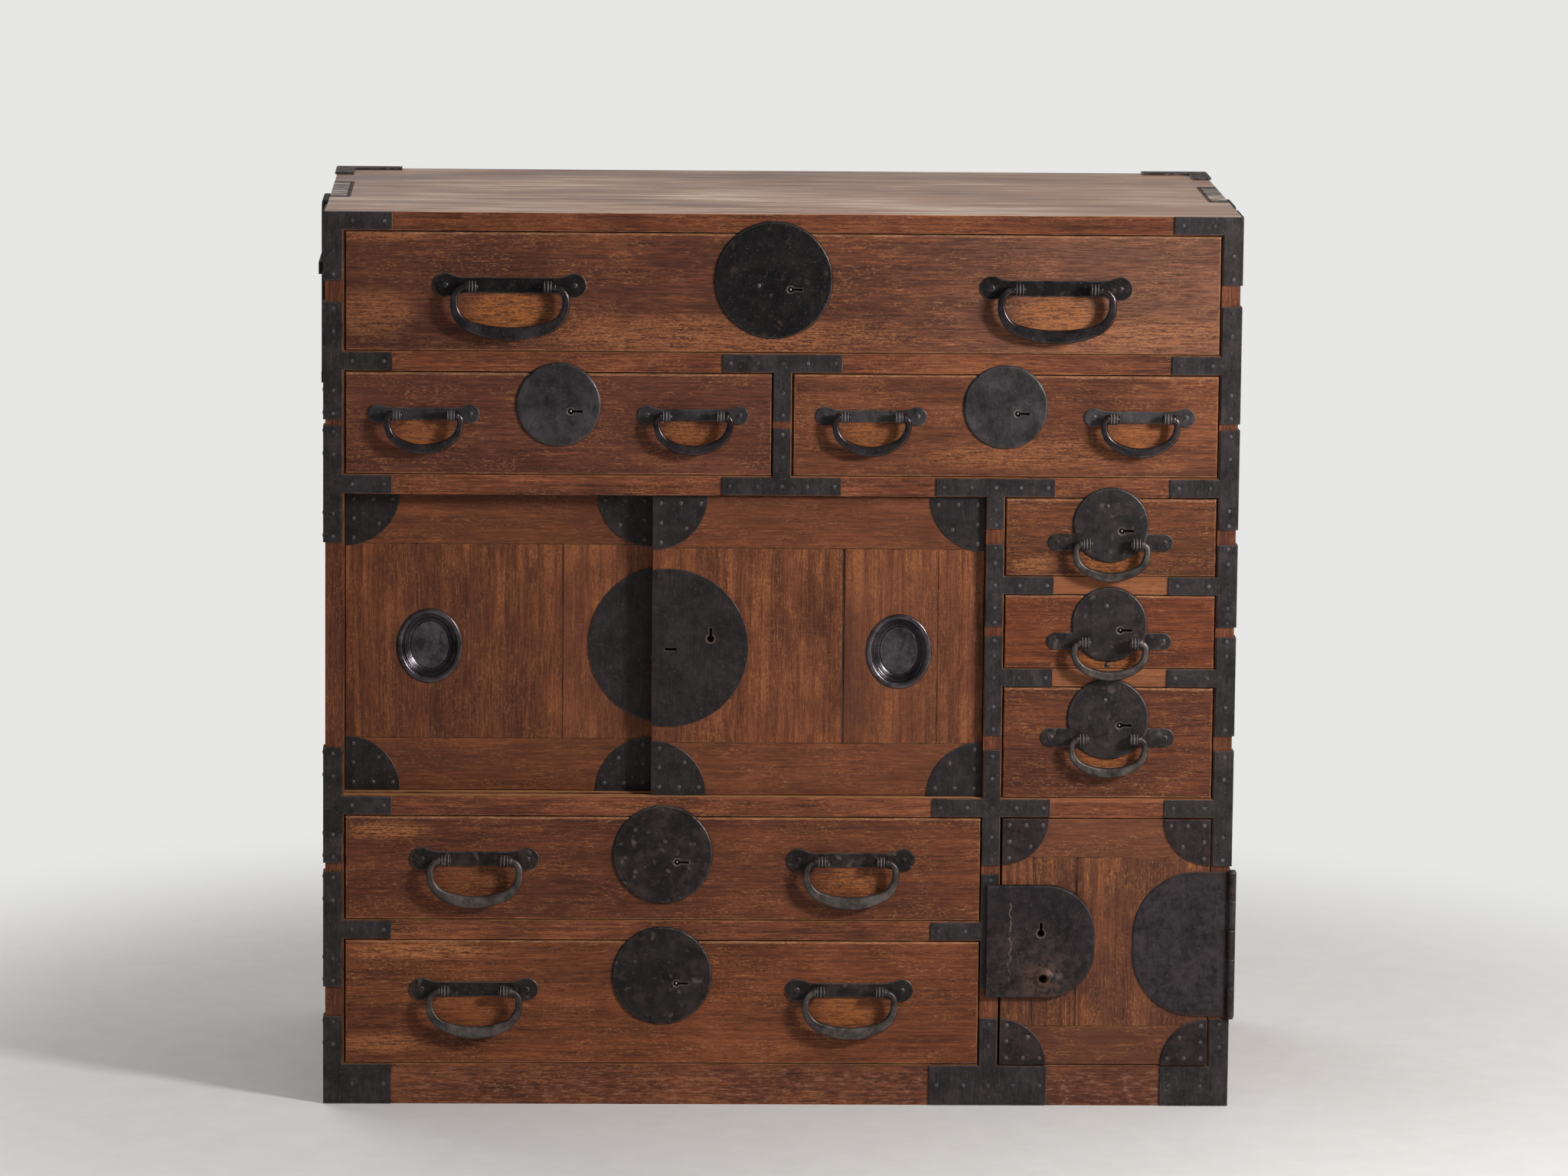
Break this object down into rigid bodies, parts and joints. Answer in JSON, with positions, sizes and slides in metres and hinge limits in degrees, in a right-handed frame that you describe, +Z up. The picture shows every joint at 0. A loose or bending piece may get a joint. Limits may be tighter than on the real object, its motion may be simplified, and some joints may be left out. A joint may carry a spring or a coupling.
{
  "type": "isho clothing chest",
  "caption": "Low iron-bound wooden clothing chest with drawers of three widths, two sliding doors, a hinged cupboard door and lifting loops for a carrying pole.",
  "frame": {"origin": "on the floor, under the middle of the chest's overall box", "axes": "+X to the right seen from the front, +Y to the back, +Z up; the front faces -Y"},
  "size_m": [0.898, 0.4468, 0.872],
  "materials": {
    "top_wood": "thin worn lacquer, greyer than the front",
    "case_wood": "worn red-brown lacquer over open grain",
    "front_wood": "worn red-brown lacquer, rubbed to gold at the handles",
    "door_wood": "worn red-brown lacquer over open grain",
    "inner_wood": "bare planed wood",
    "back_wood": "bare wood, darkened",
    "strap_iron": "blackened wrought iron",
    "plate_iron": "blackened sheet iron, specks of rust",
    "handle_iron": "forged iron, rubbed by hands",
    "loop_iron": "forged iron",
    "bolt_iron": "filed iron",
    "nail_iron": "domed iron nail heads, lightly rubbed"
  },
  "bodies": {
    "carcass": {"top_board": "top_wood", "side_boards": "case_wood", "bottom_board": "inner_wood", "back_boards": "back_wood", "front_rails": "case_wood", "dust_boards": "inner_wood", "partition_boards": "case_wood", "iron_straps": "strap_iron", "pole_guides": "strap_iron", "strap_nails": "nail_iron", "cupboard_hinge": "strap_iron"},
    "top_drawer": {"top_drawer_front": "front_wood", "top_drawer_box": "inner_wood", "top_drawer_ironwork": "plate_iron"},
    "upper_left_drawer": {"upper_left_drawer_front": "front_wood", "upper_left_drawer_box": "inner_wood", "upper_left_drawer_ironwork": "plate_iron"},
    "upper_right_drawer": {"upper_right_drawer_front": "front_wood", "upper_right_drawer_box": "inner_wood", "upper_right_drawer_ironwork": "plate_iron"},
    "long_drawer": {"long_drawer_front": "front_wood", "long_drawer_box": "inner_wood", "long_drawer_ironwork": "plate_iron"},
    "bottom_drawer": {"bottom_drawer_front": "front_wood", "bottom_drawer_box": "inner_wood", "bottom_drawer_ironwork": "plate_iron"},
    "small_drawer_one": {"small_drawer_one_front": "front_wood", "small_drawer_one_box": "inner_wood", "small_drawer_one_ironwork": "plate_iron"},
    "small_drawer_two": {"small_drawer_two_front": "front_wood", "small_drawer_two_box": "inner_wood", "small_drawer_two_ironwork": "plate_iron"},
    "small_drawer_three": {"small_drawer_three_front": "front_wood", "small_drawer_three_box": "inner_wood", "small_drawer_three_ironwork": "plate_iron"},
    "top_drawer_bail_left": {"top_drawer_bail_left": "handle_iron"},
    "top_drawer_bail_right": {"top_drawer_bail_right": "handle_iron"},
    "upper_left_drawer_bail_left": {"upper_left_drawer_bail_left": "handle_iron"},
    "upper_left_drawer_bail_right": {"upper_left_drawer_bail_right": "handle_iron"},
    "upper_right_drawer_bail_left": {"upper_right_drawer_bail_left": "handle_iron"},
    "upper_right_drawer_bail_right": {"upper_right_drawer_bail_right": "handle_iron"},
    "long_drawer_bail_left": {"long_drawer_bail_left": "handle_iron"},
    "long_drawer_bail_right": {"long_drawer_bail_right": "handle_iron"},
    "bottom_drawer_bail_left": {"bottom_drawer_bail_left": "handle_iron"},
    "bottom_drawer_bail_right": {"bottom_drawer_bail_right": "handle_iron"},
    "small_drawer_one_bail": {"small_drawer_one_bail": "handle_iron"},
    "small_drawer_two_bail": {"small_drawer_two_bail": "handle_iron"},
    "small_drawer_three_bail": {"small_drawer_three_bail": "handle_iron"},
    "lifting_loop_left": {"lifting_loop_left": "loop_iron"},
    "lifting_loop_right": {"lifting_loop_right": "loop_iron"},
    "front_door": {"front_door_boards": "door_wood", "front_door_ironwork": "plate_iron", "front_door_pull": "plate_iron"},
    "rear_door": {"rear_door_boards": "door_wood", "rear_door_ironwork": "plate_iron", "rear_door_pull": "plate_iron"},
    "sliding_door_bolt": {"sliding_door_bolt": "bolt_iron"},
    "cupboard_door": {"cupboard_door_boards": "door_wood", "cupboard_door_ironwork": "plate_iron"},
    "cupboard_bolt": {"cupboard_bolt": "bolt_iron"}
  },
  "joints": [
    {"name": "top_drawer_slide", "type": "slide", "parent": "carcass", "child": "top_drawer", "axis": [0, -1, 0], "range_m": [0, 0.3]},
    {"name": "upper_left_drawer_slide", "type": "slide", "parent": "carcass", "child": "upper_left_drawer", "axis": [0, -1, 0], "range_m": [0, 0.3]},
    {"name": "upper_right_drawer_slide", "type": "slide", "parent": "carcass", "child": "upper_right_drawer", "axis": [0, -1, 0], "range_m": [0, 0.3]},
    {"name": "long_drawer_slide", "type": "slide", "parent": "carcass", "child": "long_drawer", "axis": [0, -1, 0], "range_m": [0, 0.3]},
    {"name": "bottom_drawer_slide", "type": "slide", "parent": "carcass", "child": "bottom_drawer", "axis": [0, -1, 0], "range_m": [0, 0.3]},
    {"name": "small_drawer_one_slide", "type": "slide", "parent": "carcass", "child": "small_drawer_one", "axis": [0, -1, 0], "range_m": [0, 0.3]},
    {"name": "small_drawer_two_slide", "type": "slide", "parent": "carcass", "child": "small_drawer_two", "axis": [0, -1, 0], "range_m": [0, 0.3]},
    {"name": "small_drawer_three_slide", "type": "slide", "parent": "carcass", "child": "small_drawer_three", "axis": [0, -1, 0], "range_m": [0, 0.3]},
    {"name": "top_drawer_bail_left_swing", "type": "hinge", "parent": "top_drawer", "child": "top_drawer_bail_left", "pos_m": [-0.2615, -0.218, 0.8002], "axis": [-1, 0, 0], "range_deg": [-8, 170]},
    {"name": "top_drawer_bail_right_swing", "type": "hinge", "parent": "top_drawer", "child": "top_drawer_bail_right", "pos_m": [0.2615, -0.218, 0.8002], "axis": [-1, 0, 0], "range_deg": [-8, 170]},
    {"name": "upper_left_drawer_bail_left_swing", "type": "hinge", "parent": "upper_left_drawer", "child": "upper_left_drawer_bail_left", "pos_m": [-0.3435, -0.218, 0.676], "axis": [-1, 0, 0], "range_deg": [-8, 170]},
    {"name": "upper_left_drawer_bail_right_swing", "type": "hinge", "parent": "upper_left_drawer", "child": "upper_left_drawer_bail_right", "pos_m": [-0.0855, -0.218, 0.676], "axis": [-1, 0, 0], "range_deg": [-8, 170]},
    {"name": "upper_right_drawer_bail_left_swing", "type": "hinge", "parent": "upper_right_drawer", "child": "upper_right_drawer_bail_left", "pos_m": [0.0855, -0.218, 0.676], "axis": [-1, 0, 0], "range_deg": [-8, 170]},
    {"name": "upper_right_drawer_bail_right_swing", "type": "hinge", "parent": "upper_right_drawer", "child": "upper_right_drawer_bail_right", "pos_m": [0.3435, -0.218, 0.676], "axis": [-1, 0, 0], "range_deg": [-8, 170]},
    {"name": "long_drawer_bail_left_swing", "type": "hinge", "parent": "long_drawer", "child": "long_drawer_bail_left", "pos_m": [-0.2935, -0.218, 0.2425], "axis": [-1, 0, 0], "range_deg": [-8, 170]},
    {"name": "long_drawer_bail_right_swing", "type": "hinge", "parent": "long_drawer", "child": "long_drawer_bail_right", "pos_m": [0.0705, -0.218, 0.2425], "axis": [-1, 0, 0], "range_deg": [-8, 170]},
    {"name": "bottom_drawer_bail_left_swing", "type": "hinge", "parent": "bottom_drawer", "child": "bottom_drawer_bail_left", "pos_m": [-0.2935, -0.218, 0.114], "axis": [-1, 0, 0], "range_deg": [-8, 170]},
    {"name": "bottom_drawer_bail_right_swing", "type": "hinge", "parent": "bottom_drawer", "child": "bottom_drawer_bail_right", "pos_m": [0.0705, -0.218, 0.114], "axis": [-1, 0, 0], "range_deg": [-8, 170]},
    {"name": "small_drawer_one_bail_swing", "type": "hinge", "parent": "small_drawer_one", "child": "small_drawer_one_bail", "pos_m": [0.3175, -0.218, 0.5548], "axis": [-1, 0, 0], "range_deg": [-8, 170]},
    {"name": "small_drawer_two_bail_swing", "type": "hinge", "parent": "small_drawer_two", "child": "small_drawer_two_bail", "pos_m": [0.3175, -0.218, 0.4585], "axis": [-1, 0, 0], "range_deg": [-8, 170]},
    {"name": "small_drawer_three_bail_swing", "type": "hinge", "parent": "small_drawer_three", "child": "small_drawer_three_bail", "pos_m": [0.3175, -0.218, 0.3642], "axis": [-1, 0, 0], "range_deg": [-8, 170]},
    {"name": "lifting_loop_left_lift", "type": "slide", "parent": "carcass", "child": "lifting_loop_left", "axis": [0, 0, 1], "range_m": [0, 0.094]},
    {"name": "lifting_loop_right_lift", "type": "slide", "parent": "carcass", "child": "lifting_loop_right", "axis": [0, 0, 1], "range_m": [0, 0.094]},
    {"name": "front_door_slide", "type": "slide", "parent": "carcass", "child": "front_door", "axis": [-1, 0, 0], "range_m": [0, 0.288]},
    {"name": "rear_door_slide", "type": "slide", "parent": "carcass", "child": "rear_door", "axis": [1, 0, 0], "range_m": [0, 0.288]},
    {"name": "sliding_door_bolt_push", "type": "slide", "parent": "front_door", "child": "sliding_door_bolt", "axis": [0, 1, 0], "range_m": [0, 0.009]},
    {"name": "cupboard_door_hinge", "type": "hinge", "parent": "carcass", "child": "cupboard_door", "pos_m": [0.4406, -0.2089, 0.161], "axis": [0, 0, 1], "range_deg": [0, 170]},
    {"name": "cupboard_bolt_throw", "type": "slide", "parent": "cupboard_door", "child": "cupboard_bolt", "axis": [-1, 0, 0], "range_m": [0, 0.008]}
  ]
}
